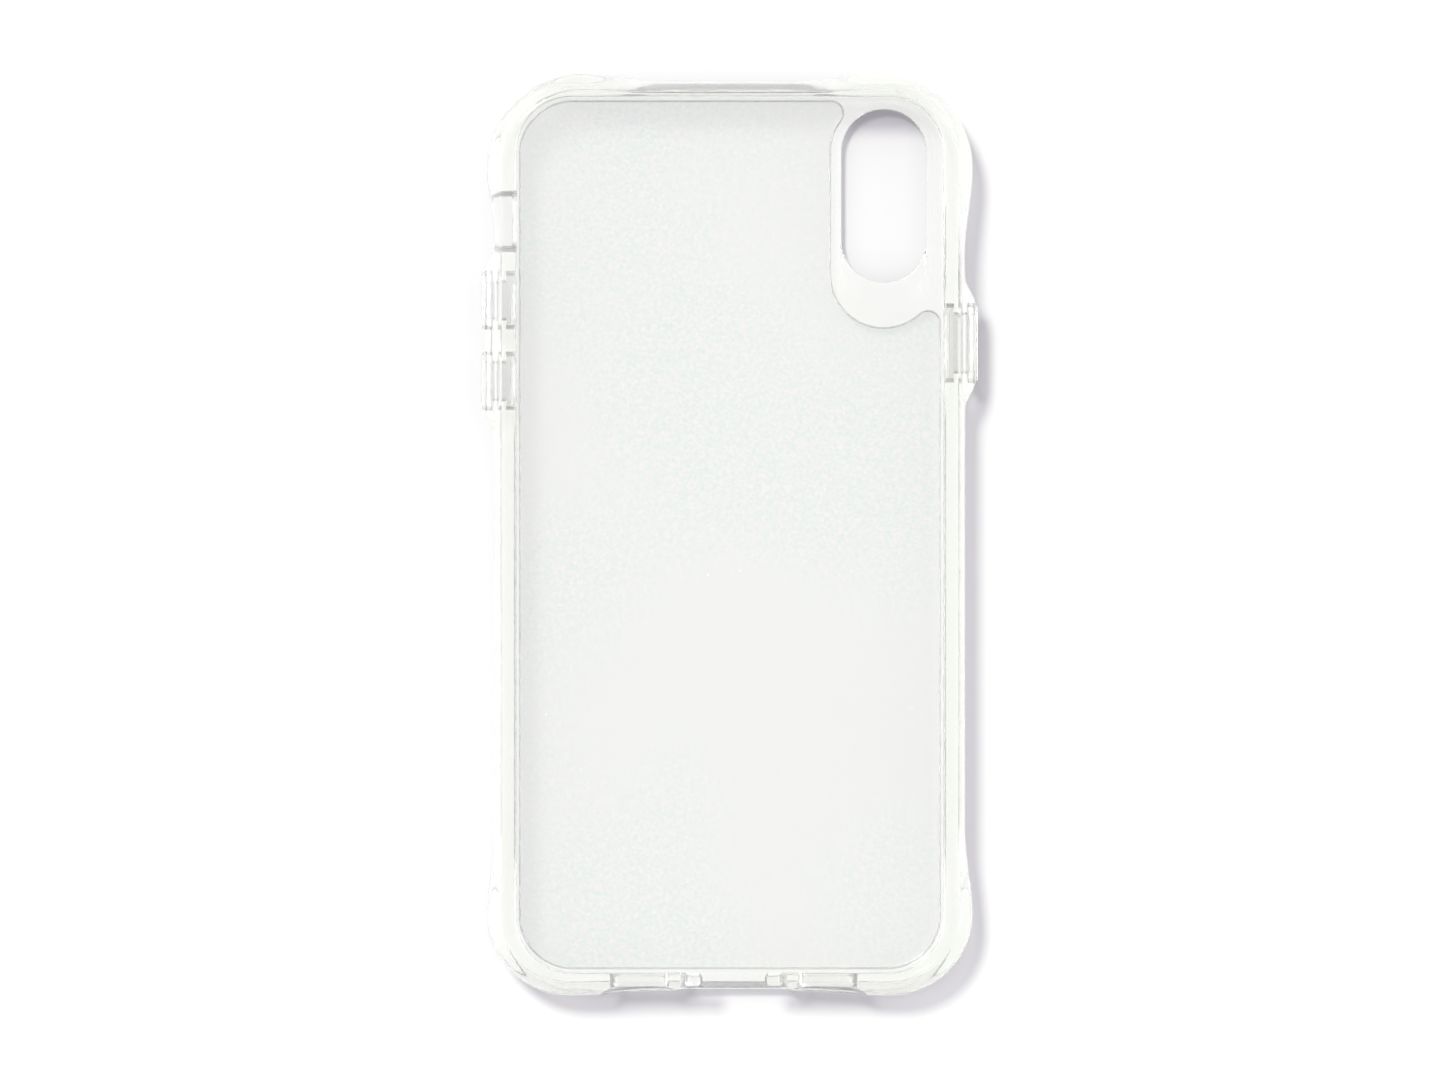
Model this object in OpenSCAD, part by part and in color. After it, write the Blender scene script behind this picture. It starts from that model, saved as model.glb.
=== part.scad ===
// Clear hybrid phone case: a hard back panel moulded into a soft bumper, with three push buttons.
// The case lies on its back with the phone pocket facing up. Millimetres.
// +X is the power-button side, +Y the camera end and +Z the screen side.
// The origin is under the middle of the case, on the plane that the back ring lies on.

/* [Phone] */
// Width of the phone that the pocket takes
phone_w = 70.9; // [68:0.1:74]
// Length of the phone that the pocket takes
phone_l = 143.6; // [140:0.1:150]
// Thickness of the phone that the pocket takes
phone_t = 7.7; // [7:0.1:8.4]
// Free gap between the phone and the pocket wall on each side
phone_gap = 0.12; // [0.05:0.01:0.3]
// Corner radius of the pocket
pocket_r = 9.8; // [8:0.1:11]

/* [Back panel] */
// How far the panel's outer face lies inside the plane of the back ring
back_recess = 0.5; // [0.3:0.1:0.8]
// Thickness of the panel
panel_t = 1.6; // [1.4:0.1:2]
// Distance from the pocket wall in to the visible edge of the panel
panel_inset = 1; // [0.8:0.1:1.4]
// Width of the thin rim that the bumper is moulded round
tongue_w = 0.4; // [0.3:0.1:1]
// Thickness of that rim
tongue_t = 0.6; // [0.4:0.1:0.8]
// Radius of the two panel corners beside the camera surround
notch_fillet = 2; // [1:0.1:3]

/* [Bumper] */
// Thickness of the side walls at the waist, midway up
side_wall = 3; // [2.6:0.1:3.6]
// Thickness of the wall at the camera end
top_wall = 2.3; // [2:0.1:3]
// Thickness of the wall at the port end
bottom_wall = 3; // [2.4:0.1:3.4]
// Height of the lip above the screen
lip_h = 1.3; // [0.8:0.1:1.6]
// How far the lip reaches over the long edges of the screen
lip_reach = 0.72; // [0.4:0.02:1]
// Outer corner radius at the camera end
corner_r_top = 14.2; // [12:0.1:16]
// Outer corner radius at the port end
corner_r_bottom = 12.6; // [11:0.1:15]
// How far the corner cushions swell out of the long sides
side_swell = 1.25; // [0:0.05:2]
// How far the corner cushions swell out at the camera end
top_swell = 1.35; // [0:0.05:2]
// How far the corner cushions swell out at the port end
bottom_swell = 0.65; // [0:0.05:2]

/* [Camera opening] */
// Distance of the opening's middle line from the middle of the case
camera_x = 25.3; // [24:0.1:26]
// Width of the opening through the surround
camera_w = 14; // [12:0.1:15]
// Length of the opening through the surround
camera_l = 28.4; // [24:0.1:32]
// Distance from the opening's far end to the pocket wall
camera_edge = 2; // [1.8:0.1:3]
// Width of the flat surround, out to the panel
surround_w = 1.8; // [1.4:0.1:2.4]
// Width of the bevel round the opening on the back
bevel_w = 1.1; // [0.6:0.1:1.3]
// Length of the ramp below the opening on the back
ramp_l = 6.8; // [3:0.1:8]

/* [Buttons] */
// Travel of each button
travel = 0.35; // [0.2:0.05:0.4]
// Height of each button, along the thickness of the phone
button_h = 3.4; // [2.6:0.1:4]
// How far the raised button islands stand out of the waist
island_out = 1.63; // [1:0.01:2]
// How far each button stands out of its island
button_out = 0.5; // [0.4:0.05:0.8]
// Length of each volume button
volume_l = 9.5; // [8:0.1:11]
// Distance of the volume-up button from the middle of the case
volume_up_y = 38.4; // [36:0.1:42]
// Distance of the volume-down button from the middle of the case
volume_down_y = 25.2; // [22:0.1:26]
// Length of the power button
power_l = 12.9; // [11:0.1:15]
// Distance of the power button from the middle of the case
power_y = 31.4; // [28:0.1:36]

/* [Openings in the walls] */
// Length of the mute-switch opening
switch_l = 10.2; // [9:0.1:11]
// Height of the mute-switch opening
switch_h = 4.6; // [4.2:0.1:5]
// Distance of the mute-switch opening from the middle of the case
switch_y = 51.3; // [50:0.1:54]
// Width of the port window
port_w = 17.4; // [12:0.1:18]
// Width of the gap that the port window leaves in the lip
port_gap_w = 10.2; // [9:0.1:12]
// Height of the port window
port_h = 6; // [5:0.1:6.4]
// How far the port window lies off the middle of the case
port_x = 0.6; // [0:0.1:1]
// Length of each sound opening beside the port
sound_l = 9.8; // [8:0.1:11]
// Height of each sound opening
sound_h = 3.4; // [2.4:0.1:3.8]
// Thickness of the posts between the port window and the sound openings
post_w = 1.8; // [1.4:0.1:2.2]

/* [Hidden] */

clear_hard = [0.88, 0.90, 0.89, 0.7];
clear_soft = [0.93, 0.94, 0.92, 0.6];
clear_button = [0.82, 0.85, 0.83, 0.8];

// A length that lets a cut run clear through the face it starts from
over = 1;
// Facets on an exact round shape
round_fn = 96;
$fn = round_fn;

// Heights
floor_z = back_recess + panel_t;
lip_z = floor_z + phone_t + phone_gap;
case_h = lip_z + lip_h;
middle_z = floor_z + phone_t / 2;

// Half sizes of the pocket and of the waist of the bumper
pocket_x = phone_w / 2 + phone_gap;
pocket_y = phone_l / 2 + phone_gap;
waist_x = pocket_x + side_wall;
waist_top = pocket_y + top_wall;
waist_bottom = pocket_y + bottom_wall;

// Panel, with a smaller inset on the ends where the lip is narrower
end_share = 0.55;
panel_x = pocket_x - panel_inset;
panel_y = pocket_y - panel_inset * end_share;
panel_r = pocket_r - panel_inset;
tongue_z = back_recess + (panel_t - tongue_t) / 2;

// Camera opening: the middles of its two round ends, and of the round end of the panel's notch
camera_r = camera_w / 2;
camera_top = pocket_y - camera_edge - camera_r;
camera_bottom = camera_top - camera_l + camera_w;
ramp_bottom = camera_bottom - ramp_l + bevel_w;
surround_r = camera_r + surround_w;

// How far in from the waist the outer skin runs at the lip and at the back, on sides and ends
side_edge = 1.3;
end_edge = 1.7;
// How far in the top of the lip is, on sides and ends
side_ridge = 2.35;
end_ridge = 1.95;
// Height of the lip's outer edge below its top
ridge_drop = 0.25;
// How fast the skin turns in towards the lip: 2 is a round arch, more is a flatter wall
skin_power = 2.6;
// How much of the swell has died away at the lip and at the back
edge_calm = 0.85;
// Rows of the skin from the back to the lip, and steps round each outer corner
skin_rows = 10;
corner_steps = 9;
// Steps along each run where the skin swells, and the lengths of those runs
swell_steps = 7;
side_run = 14;
end_run = 15;

// Steps round each pocket corner
pocket_steps = 8;
// Pocket wall from the floor to above the lip: height, and how far in it is on the long sides
pocket_wall = [
    [floor_z, panel_inset - 0.15],
    [floor_z + 0.25, 0.5],
    [floor_z + 0.8, 0.15],
    [floor_z + 1.7, 0],
    [lip_z - 1.5, 0],
    [lip_z - 0.5, lip_reach * 0.45],
    [lip_z + 0.1, lip_reach],
    [case_h - 0.7, lip_reach],
    [case_h, -0.4],
    [case_h + over, -1.4]
];

// Buttons: outward places of the well's floor, of the relief beside the phone and of the faces
island_x = waist_x + island_out;
button_x = island_x + button_out;
cap_t = 1.75;
well_x = button_x - cap_t - travel - 0.1;
relief_x = pocket_x + 0.85;
flange_t = 0.5;
running_gap = 0.12;
stem_h = 1.8;
stem_inset = 1.5;
flange_inset = 0.5;
button_bevel = 0.3;
// Islands: the flared ends, the height at the root and at the face
flare_l = 2.8;
island_margin = 0.7;
island_root_h = 6.8;
island_face_h = 5.2;

// ---- 2D shapes ----

// A rectangle with round corners, given by its half sizes
module rounded(half_w, half_l, r) {
    for (x = [-1, 1], y = [-1, 1]) translate([x * (half_w - r), y * (half_l - r)]) circle(r);
    square([2 * (half_w - r), 2 * half_l], center = true);
    square([2 * half_w, 2 * (half_l - r)], center = true);
}

// A slot with round ends of radius r, along Y from y0 to y1 between their middles
module slot(r, y0, y1) {
    for (y = [y0, y1]) translate([0, y]) circle(r);
    translate([-r, y0]) square([2 * r, y1 - y0]);
}

// Middle of a panel corner that touches a straight edge and the round end of the surround.
// near is how far that middle lies from the surround's middle, square to the edge.
function corner_shift(near) = sqrt((surround_r + notch_fillet) ^ 2 - near ^ 2);

// The bay in the panel that the camera surround fills, drawn for a panel grown by grow
module camera_bay(grow) {
    side_near = panel_x - notch_fillet - camera_x;
    end_near = panel_y - notch_fillet - camera_top;
    side_corner = [panel_x - notch_fillet, ramp_bottom - corner_shift(side_near)];
    end_corner = [camera_x - corner_shift(end_near), panel_y - notch_fillet];
    far_x = panel_x + grow + over;
    far_y = panel_y + grow + over;
    translate([camera_x, 0]) slot(surround_r - grow, ramp_bottom, camera_top);
    difference() {
        polygon([
            [camera_x, ramp_bottom],
            side_corner,
            [far_x, side_corner[1]],
            [far_x, far_y],
            [end_corner[0], far_y],
            end_corner,
            [camera_x, camera_top]
        ]);
        for (c = [side_corner, end_corner]) translate(c) circle(notch_fillet + grow);
    }
}

// Outline of the back panel, grown by grow on every edge
module panel_outline(grow) {
    difference() {
        rounded(panel_x + grow, panel_y + grow, panel_r + grow);
        camera_bay(grow);
    }
}

// ---- Stations round the case, as [x, y, normal x, normal y, swell] ----

// A smooth step from 0 to 1
function smooth(t) = t * t * (3 - 2 * t);

// One corner of the bumper's waist, from where the long side starts to swell to where the end stops
function quarter(end_y, r, end_swell) =
    let (
        side_l = end_y - r,
        end_l = waist_x - r
    )
    concat(
        [for (i = [0 : swell_steps])
            let (t = i / swell_steps)
            [waist_x, side_l - side_run * (1 - t), 1, 0, side_swell * smooth(t)]],
        [for (i = [1 : corner_steps])
            let (t = i / corner_steps, a = 90 * t)
            [end_l + r * cos(a), side_l + r * sin(a), cos(a), sin(a),
                side_swell + (end_swell - side_swell) * smooth(t)]],
        [for (i = [1 : swell_steps])
            let (t = 1 - i / swell_steps)
            [end_l - end_run * (1 - t), end_y, 0, 1, end_swell * smooth(t)]]
    );

function mirrored(p, x, y) = [p[0] * x, p[1] * y, p[2] * x, p[3] * y, p[4]];

function reversed(list) = [for (i = [len(list) - 1 : -1 : 0]) list[i]];

// The whole way round, anticlockwise from the power-button side
top_quarter = quarter(waist_top, corner_r_top, top_swell);
bottom_quarter = quarter(waist_bottom, corner_r_bottom, bottom_swell);
stations = concat(
    top_quarter,
    [for (p = reversed(top_quarter)) mirrored(p, -1, 1)],
    [for (p = bottom_quarter) mirrored(p, -1, -1)],
    [for (p = reversed(bottom_quarter)) mirrored(p, 1, -1)]
);

// A station's point moved in by side on the long sides and by end on the ends, and out by swell
function moved(p, z, side, end, swell) =
    let (out = p[4] * swell - side * p[2] ^ 2 - end * p[3] ^ 2)
    [p[0] + p[2] * out, p[1] + p[3] * out, z];

// A closed solid through rows of points, where each row is a level outline
module stack(rows) {
    n = len(rows[0]);
    top = len(rows) - 1;
    points = [for (row = rows) for (p = row) p];
    walls = [for (k = [0 : top - 1], i = [0 : n - 1])
        let (j = (i + 1) % n, a = k * n + i, b = k * n + j)
        each [[a, a + n, b], [b, a + n, b + n]]];
    polyhedron(
        points = points,
        faces = concat([[for (i = [0 : n - 1]) i]], walls, [[for (i = [n - 1 : -1 : 0]) top * n + i]]),
        convexity = 6
    );
}

// ---- Bumper ----

// Height of the lip's outer edge, where the rounded skin ends
skin_h = case_h - ridge_drop;

// How far the skin has turned in at height z, from 0 midway up to 1 at its two edges
function turn_in(z) = abs(2 * z / skin_h - 1) ^ skin_power;

module bumper_blank() {
    skin = [for (k = [0 : skin_rows])
        let (z = skin_h * k / skin_rows, turn = turn_in(z))
        [for (p = stations) moved(p, z, side_edge * turn, end_edge * turn, 1 - edge_calm * turn)]];
    ridge = [for (p = stations) moved(p, case_h, side_ridge, end_ridge, 1 - edge_calm)];
    stack(concat(skin, [ridge]));
}

// One level of the pocket, moved in from the widest place
function pocket_outline(z, inset) = [
    for (q = [0 : 3], i = [0 : pocket_steps])
        let (
            a = 90 * (q + i / pocket_steps),
            sx = (q == 0 || q == 3) ? 1 : -1,
            sy = q < 2 ? 1 : -1,
            in_x = inset,
            in_y = inset * end_share,
            r = pocket_r - inset
        )
        [
            sx * (pocket_x - in_x - r) + r * cos(a),
            sy * (pocket_y - in_y - r) + r * sin(a),
            z
        ]
];

module phone_pocket() {
    stack([for (w = pocket_wall) pocket_outline(w[0], w[1])]);
}

// The window that the panel fills, with the groove for its rim
module panel_seat() {
    translate([0, 0, -over]) linear_extrude(floor_z + 2 * over) panel_outline(0);
    translate([0, 0, tongue_z]) linear_extrude(tongue_t) panel_outline(tongue_w);
}

// The camera opening, its bevel and the ramp below it
module camera_opening() {
    bevel_depth = floor_z - 0.6;
    translate([camera_x, 0, -over]) linear_extrude(floor_z + 2 * over)
        slot(camera_r, camera_bottom, camera_top);
    hull($fn = 48) {
        translate([camera_x, 0, -0.01]) linear_extrude(0.01, $fn = 48)
            slot(camera_r + bevel_w, ramp_bottom, camera_top);
        translate([camera_x, 0, bevel_depth]) linear_extrude(0.01, $fn = 48)
            slot(camera_r, camera_bottom, camera_top);
    }
}

// A flat outline drawn in X and Z, cut through the wall at the port end
module through_port_wall() {
    depth = waist_bottom - pocket_y + 4 * over;
    translate([0, -waist_bottom - 2 * over, 0])
        translate([0, depth, 0]) rotate([90, 0, 0]) linear_extrude(depth) children();
}

module port_window() {
    corner = 2;
    through_port_wall() {
        translate([port_x, middle_z]) rounded(port_w / 2, port_h / 2, corner);
        translate([port_x - port_gap_w / 2, middle_z]) square([port_gap_w, case_h]);
    }
}

module sound_openings() {
    r = sound_h / 2;
    first = port_w / 2 + post_w;
    for (side = [-1, 1]) through_port_wall()
        translate([port_x + side * (first + sound_l / 2), middle_z])
            rotate(90) slot(r, -sound_l / 2 + r, sound_l / 2 - r);
}

// A slot along Y with round ends, cut outwards along X from x0
module side_slot(x0, x1, y, l, h) {
    r = h / 2;
    translate([x0, y, middle_z]) rotate([90, 0, 90]) linear_extrude(x1 - x0)
        rotate(90) slot(r, -l / 2 + r, l / 2 - r);
}

module switch_opening() {
    mirror([1, 0, 0]) side_slot(pocket_x - over, island_x + over, switch_y, switch_l, switch_h);
}

// A block on the +X side with sloping ends and edges, from its root to its smaller face
module sloped_block(x0, x1, y, root_l, face_l, root_h, face_h) {
    intersection() {
        translate([0, 0, middle_z - root_h]) linear_extrude(2 * root_h) polygon([
            [x0, y - root_l / 2], [x1, y - face_l / 2], [x1, y + face_l / 2], [x0, y + root_l / 2]
        ]);
        translate([0, y + root_l, 0]) rotate([90, 0, 0]) linear_extrude(2 * root_l) polygon([
            [x0, middle_z - root_h / 2], [x1, middle_z - face_h / 2],
            [x1, middle_z + face_h / 2], [x0, middle_z + root_h / 2]
        ]);
    }
}

// The raised island round one or two buttons, from y0 to y1 at its face
module island(y0, y1) {
    root_x = waist_x - side_wall / 3;
    slope = flare_l * (island_x - root_x) / island_out;
    sloped_block(root_x, island_x, (y0 + y1) / 2, y1 - y0 + 2 * slope, y1 - y0,
        island_root_h, island_face_h);
}

// Everything that one button needs cut out of the wall on the +X side
module button_well(y, l) {
    gap = 2 * running_gap;
    side_slot(well_x, button_x + over, y, l + gap, button_h + gap);
    side_slot(relief_x - over / 2, well_x + over / 2, y, l - 2 * stem_inset + gap, stem_h + gap);
    side_slot(pocket_x - over, relief_x, y, l + gap, button_h + gap);
}

module bumper_frame() {
    volume_end = volume_l / 2 + island_margin;
    power_end = power_l / 2 + island_margin;
    color(clear_soft) difference() {
        union() {
            bumper_blank();
            island(power_y - power_end, power_y + power_end);
            mirror([1, 0, 0]) island(volume_down_y - volume_end, volume_up_y + volume_end);
        }
        phone_pocket();
        panel_seat();
        camera_opening();
        port_window();
        sound_openings();
        switch_opening();
        button_well(power_y, power_l);
        mirror([1, 0, 0]) button_well(volume_up_y, volume_l);
        mirror([1, 0, 0]) button_well(volume_down_y, volume_l);
    }
}

// ---- Panel and buttons ----

module back_panel() {
    color(clear_hard) {
        translate([0, 0, back_recess]) linear_extrude(panel_t) panel_outline(0);
        translate([0, 0, tongue_z]) linear_extrude(tongue_t) panel_outline(tongue_w);
    }
}

// A button on the +X side: the cap in its well, the stem through the wall and the inner flange
module button(y, l) {
    bevel_x = button_x - button_bevel;
    side_slot(button_x - cap_t, bevel_x, y, l, button_h);
    side_slot(bevel_x - 0.01, button_x, y, l - 2 * button_bevel, button_h - 2 * button_bevel);
    side_slot(relief_x - running_gap / 2 - 0.01, button_x - cap_t + 0.01, y, l - 2 * stem_inset, stem_h);
    side_slot(relief_x - running_gap / 2 - flange_t, relief_x - running_gap / 2, y,
        l - 2 * flange_inset, button_h - 2 * flange_inset);
}

module volume_up_button() {
    color(clear_button) mirror([1, 0, 0]) button(volume_up_y, volume_l);
}

module volume_down_button() {
    color(clear_button) mirror([1, 0, 0]) button(volume_down_y, volume_l);
}

module power_button() {
    color(clear_button) button(power_y, power_l);
}

back_panel();
bumper_frame();
volume_up_button();
volume_down_button();
power_button();
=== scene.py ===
# %% [markdown]
# # A clear hybrid phone case
# The case is two mouldings and three buttons: a hard clear back panel, a soft clear bumper with
# swollen corners, and the covers that pass a press on to the phone's own buttons. Everything
# is see-through, so what the eye reads is its edges and its thickness: each lip, ledge and opening
# has to be a real surface, because glass shows both sides of every wall.

# %% Load the frame
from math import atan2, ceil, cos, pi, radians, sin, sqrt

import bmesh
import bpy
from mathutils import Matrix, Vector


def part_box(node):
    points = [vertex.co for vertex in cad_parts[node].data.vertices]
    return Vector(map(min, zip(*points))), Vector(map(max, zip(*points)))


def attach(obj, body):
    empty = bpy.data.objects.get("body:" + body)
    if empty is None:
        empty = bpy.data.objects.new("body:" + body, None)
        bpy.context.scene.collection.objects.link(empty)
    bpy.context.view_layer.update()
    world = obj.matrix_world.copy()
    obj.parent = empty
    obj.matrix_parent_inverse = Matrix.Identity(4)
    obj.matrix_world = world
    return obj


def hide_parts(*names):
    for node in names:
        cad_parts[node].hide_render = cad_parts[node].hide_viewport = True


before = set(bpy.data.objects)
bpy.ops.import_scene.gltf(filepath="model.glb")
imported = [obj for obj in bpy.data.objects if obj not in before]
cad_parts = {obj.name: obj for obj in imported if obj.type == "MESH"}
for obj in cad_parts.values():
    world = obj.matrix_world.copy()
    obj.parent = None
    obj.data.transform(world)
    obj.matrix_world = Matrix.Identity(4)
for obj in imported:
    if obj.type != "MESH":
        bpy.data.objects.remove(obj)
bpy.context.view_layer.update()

# %% [markdown]
# ## Tools and measures
# The box of the whole part is kept now.
# The places below are read from the frame's nodes. Only wall thicknesses, edge radii and the like,
# which no box can tell, are written here, in millimetres turned to metres.

MM = 0.001

bumper_lo, bumper_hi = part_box("bumper_frame")
panel_lo, panel_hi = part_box("back_panel")
button_nodes = ("volume_up_button", "volume_down_button", "power_button")
button_boxes = {name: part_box(name) for name in button_nodes}

case_h = bumper_hi.z
recess = panel_lo.z
floor_z = panel_hi.z
middle_z = (button_boxes["power_button"][0].z + button_boxes["power_button"][1].z) / 2
island_x = bumper_hi.x
button_x = button_boxes["power_button"][1].x
case_size = [round(v / MM, 2) for v in (bumper_hi - bumper_lo)]
print("case", case_size, "mm, floor at", round(floor_z / MM, 2))

# %% Wall measures that are shared by several pieces
tongue_w = 0.4 * MM
tongue_t = 0.6 * MM
panel_inset = 1.0 * MM
end_share = 0.55
side_wall = 3.0 * MM
top_wall = 2.3 * MM
bottom_wall = 3.0 * MM

pocket_x = panel_hi.x - tongue_w + panel_inset
pocket_y = panel_hi.y - tongue_w + panel_inset * end_share
pocket_r = 9.8 * MM
waist_x = pocket_x + side_wall
waist_top = pocket_y + top_wall
waist_bottom = pocket_y + bottom_wall

# %% [markdown]
# ## Shapes from outlines
# Nearly every part of a moulding like this is a stack of outlines: the bumper's skin, the pocket, the
# panel and each opening. A loft through outlines with equal numbers of points gives clean quads and
# sharp control of every edge radius. Drawing boxes and bevelling them afterwards would be quicker, but
# bevels fail where a cut crosses a curved wall, so each edge radius is built into the outlines.

# %% Outlines and lofts
def arc(centre, radius, start, end, steps):
    """Points on a circle, from start to end in degrees, both included."""
    angles = [radians(start + (end - start) * i / steps) for i in range(steps + 1)]
    return [(centre[0] + radius * cos(a), centre[1] + radius * sin(a)) for a in angles]


def rounded_outline(half_w, half_l, radius, steps=10):
    """A rectangle with round corners, anticlockwise from the middle of its right side."""
    points = []
    for quarter, (sx, sy) in enumerate(((1, 1), (-1, 1), (-1, -1), (1, -1))):
        centre = (sx * (half_w - radius), sy * (half_l - radius))
        points += arc(centre, radius, 90 * quarter, 90 * quarter + 90, steps)
    return points


def slot_outline(half_l, radius, steps=14):
    """A slot with round ends, lying along the first axis. half_l reaches from its middle to its end."""
    reach = half_l - radius
    return arc((reach, 0), radius, -90, 90, steps) + arc((-reach, 0), radius, 90, 270, steps)


def mesh_object(name, points, faces):
    """An object of these points and faces, with doubled points joined and normals outwards."""
    mesh = bpy.data.meshes.new(name)
    mesh.from_pydata([tuple(p) for p in points], [], faces)
    bm = bmesh.new()
    bm.from_mesh(mesh)
    bmesh.ops.remove_doubles(bm, verts=bm.verts, dist=1e-8)
    bmesh.ops.recalc_face_normals(bm, faces=bm.faces)
    bm.to_mesh(mesh)
    bm.free()
    piece = bpy.data.objects.new(name, mesh)
    bpy.context.scene.collection.objects.link(piece)
    return piece


def loft(name, rows):
    """A closed solid through rows of points. Every row has the same number of points."""
    n = len(rows[0])
    points = [p for row in rows for p in row]
    faces = [
        (k * n + i, k * n + (i + 1) % n, (k + 1) * n + (i + 1) % n, (k + 1) * n + i)
        for k in range(len(rows) - 1)
        for i in range(n)
    ]
    last = (len(rows) - 1) * n
    faces.append(tuple(range(n - 1, -1, -1)))
    faces.append(tuple(range(last, last + n)))
    return mesh_object(name, points, faces)


def level(outline, z):
    """An outline laid flat at one height."""
    return [(x, y, z) for x, y in outline]


def facing_x(outline, x, y, z):
    """An outline drawn across the X axis: its first direction runs along Y and its second along Z."""
    return [(x, y + u, z + v) for u, v in outline]


def facing_y(outline, x, y, z):
    """An outline drawn across the Y axis: its first direction runs along X and its second along Z."""
    return [(x + u, y, z + v) for u, v in outline]


# %% [markdown]
# ## Cutting and smoothing
# Openings are cut with exact booleans while everything is still a plain solid. Afterwards the normals
# are weighted by face area and kept sharp only where a real edge is, so that large flat faces stay
# flat in the reflections, and curved ones stay smooth.

# %% Booleans and shading
def evaluated(piece, name):
    """The piece with its modifiers turned into a plain mesh, which becomes its own mesh. Its modifiers
    go.
    """
    graph = bpy.context.evaluated_depsgraph_get()
    mesh = bpy.data.meshes.new_from_object(piece.evaluated_get(graph), depsgraph=graph)
    mesh.name = name
    piece.modifiers.clear()
    piece.data = mesh
    piece.name = name
    return piece


def carve(piece, cutters):
    """Cuts every cutter out of the piece. The cutters go."""
    name = piece.name
    for cutter in cutters:
        cut = piece.modifiers.new(cutter.name, "BOOLEAN")
        cut.operation = "DIFFERENCE"
        cut.solver = "EXACT"
        cut.object = cutter
    evaluated(piece, name)
    for cutter in cutters:
        bpy.data.objects.remove(cutter)
    return piece


def smooth_shaded(piece, sharp_from=32):
    """Smooth shading that stays sharp on real edges, with large faces ruling their normals."""
    mesh = piece.data
    bm = bmesh.new()
    bm.from_mesh(mesh)
    bmesh.ops.remove_doubles(bm, verts=bm.verts, dist=2e-6)
    bmesh.ops.dissolve_degenerate(bm, edges=bm.edges, dist=1e-6)
    bm.to_mesh(mesh)
    bm.free()
    mesh.shade_smooth()
    mesh.set_sharp_from_angle(angle=radians(sharp_from))
    weighted = piece.modifiers.new("Weighted normals", "WEIGHTED_NORMAL")
    weighted.keep_sharp = True
    weighted.weight = 60
    evaluated(piece, piece.name)
    bm = bmesh.new()
    bm.from_mesh(piece.data)
    open_edges = sum(1 for e in bm.edges if not e.is_manifold)
    bm.free()
    print(piece.name, len(piece.data.polygons), "faces,", open_edges, "open edges")
    return piece


# %% [markdown]
# ## The bumper's skin
# From above, the bumper is a rounded rectangle whose corners swell out and whose middles are waisted.
# From the end, its wall is a flattened arch that turns in towards the lip and the back. So each
# point of the skin is a station on the waist moved along its own normal by a swell and a turn.
# The raised islands round the buttons grow out of the same skin: a soft maximum of the two
# surfaces leaves the small fillet that a mould has, which a joined-on block wouldn't.

# %% Stations round the waist
corner_r_top = 14.2 * MM
corner_r_bottom = 12.6 * MM
side_swell = 1.25 * MM
top_swell = 1.35 * MM
bottom_swell = 0.65 * MM
side_run = 14 * MM
end_run = 15 * MM
side_step = 0.6 * MM
end_step = 0.8 * MM
corner_steps = 28


def ease(t):
    """A smooth step from 0 to 1."""
    t = min(max(t, 0), 1)
    return t * t * (3 - 2 * t)


def spaced(length, step):
    """Even places from 0 to length, both included, about a step apart."""
    count = max(1, ceil(length / step))
    return [length * i / count for i in range(count + 1)]


def quarter_stations(end_y, radius, end_swell):
    """Stations from mid-side to mid-end, each (x, y, normal x, normal y, swell)."""
    side_l = end_y - radius
    end_l = waist_x - radius
    side = [
        (waist_x, y, 1, 0, side_swell * ease(1 - (side_l - y) / side_run))
        for y in spaced(side_l, side_step)
    ]
    corner = []
    for i in range(1, corner_steps):
        t = i / corner_steps
        a = radians(90 * t)
        swell = side_swell + (end_swell - side_swell) * ease(t)
        corner.append((end_l + radius * cos(a), side_l + radius * sin(a), cos(a), sin(a), swell))
    end = [
        (x, end_y, 0, 1, end_swell * ease(1 - (end_l - x) / end_run))
        for x in reversed(spaced(end_l, end_step))
    ]
    return side + corner + end


def turned(stations, sx, sy):
    return [(x * sx, y * sy, nx * sx, ny * sy, swell) for x, y, nx, ny, swell in stations]


top_quarter = quarter_stations(waist_top, corner_r_top, top_swell)
bottom_quarter = quarter_stations(waist_bottom, corner_r_bottom, bottom_swell)
stations = top_quarter + turned(top_quarter, -1, 1)[-2:0:-1]
stations += turned(bottom_quarter, -1, -1) + turned(bottom_quarter, 1, -1)[-2:0:-1]
print(len(stations), "stations round the waist")

# %% The islands round the buttons
flare_l = 2.8 * MM
island_margin = 0.7 * MM
island_face_h = 5.2 * MM
island_steepness = 2.6
soft = 0.35 * MM
island_fillet = 0.3 * MM
no_island = -3 * MM


def island_span(*names):
    """Lowest and highest Y of the flat face round these buttons."""
    low = min(button_boxes[n][0].y for n in names) - island_margin
    high = max(button_boxes[n][1].y for n in names) + island_margin
    return low, high


islands = {1: island_span("power_button"), -1: island_span("volume_down_button", "volume_up_button")}


def soft_above(value):
    """How far a value is above 0, with a rounded start."""
    return (value + sqrt(value * value + soft * soft)) / 2


def island_rise(side, y, z):
    """How far the island's surface stands out of the waist at this place on a long side."""
    low, high = islands[side]
    along = soft_above(abs(y - (low + high) / 2) - (high - low) / 2)
    across = soft_above(abs(z - middle_z) - island_face_h / 2)
    return island_x - waist_x - along * (island_x - waist_x) / flare_l - across * island_steepness


# %% The skin itself
side_edge = 1.3 * MM
end_edge = 1.7 * MM
side_ridge = 2.35 * MM
end_ridge = 1.95 * MM
ridge_drop = 0.25 * MM
skin_power = 2.6
edge_calm = 0.85
skin_h = case_h - ridge_drop


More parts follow.
